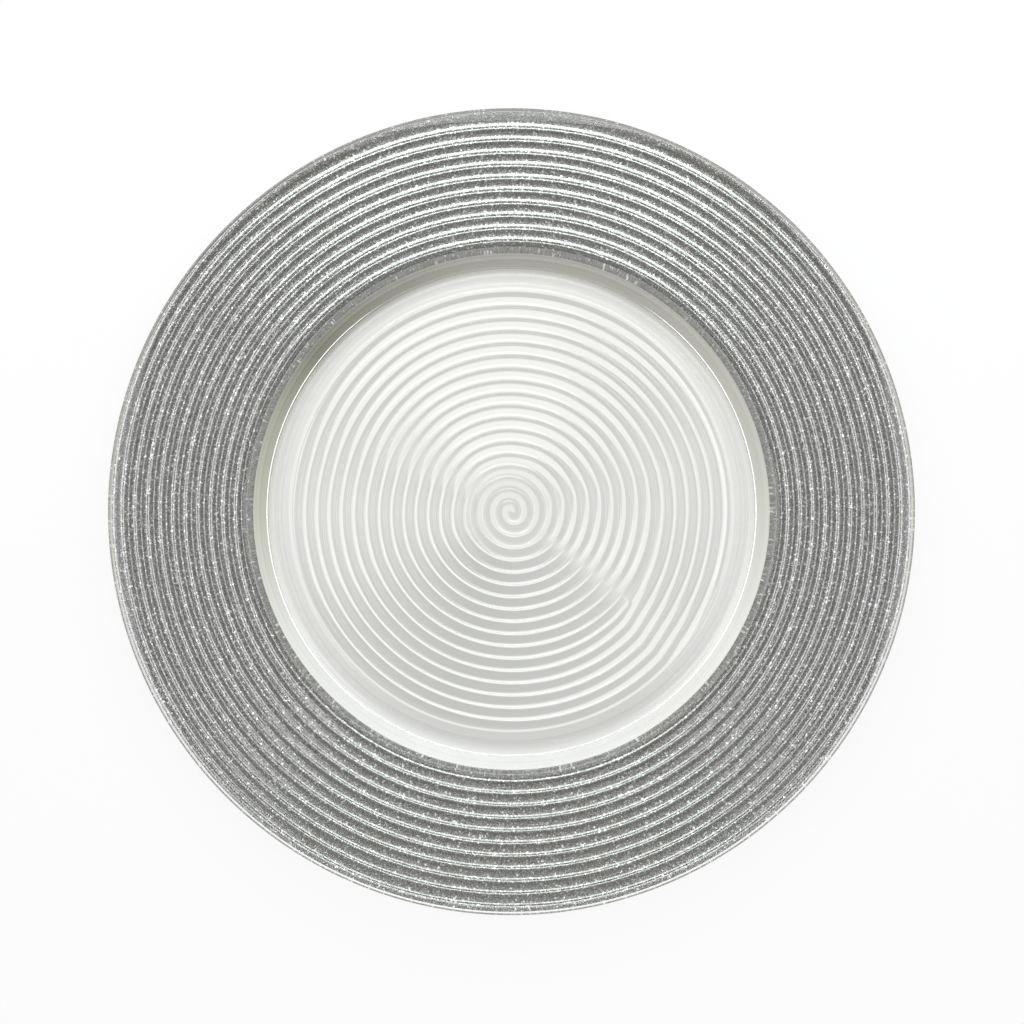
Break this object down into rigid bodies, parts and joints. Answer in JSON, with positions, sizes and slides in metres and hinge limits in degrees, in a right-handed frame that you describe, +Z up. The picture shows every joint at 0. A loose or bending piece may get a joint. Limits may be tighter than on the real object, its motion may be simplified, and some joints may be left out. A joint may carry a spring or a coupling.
{
  "type": "charger plate",
  "caption": "Round charger plate of clear glass with a spiral-ribbed well and a wide ribbed rim that shows silver glitter through the glass.",
  "frame": {"origin": "centre of the plate, on the face that it stands on", "axes": "+Z up out of the well, +X to the right of the picture, +Y to the top of the picture"},
  "size_m": [0.33, 0.33, 0.0238],
  "materials": {
    "clear_glass": "polished, ribbed on the underside",
    "silver_glitter": "fine silver glitter in clear varnish",
    "grey_lacquer": "satin"
  },
  "bodies": {
    "root": {"glass_plate": "clear_glass", "glitter_coat": "silver_glitter", "backing_lacquer": "grey_lacquer"}
  },
  "joints": []
}
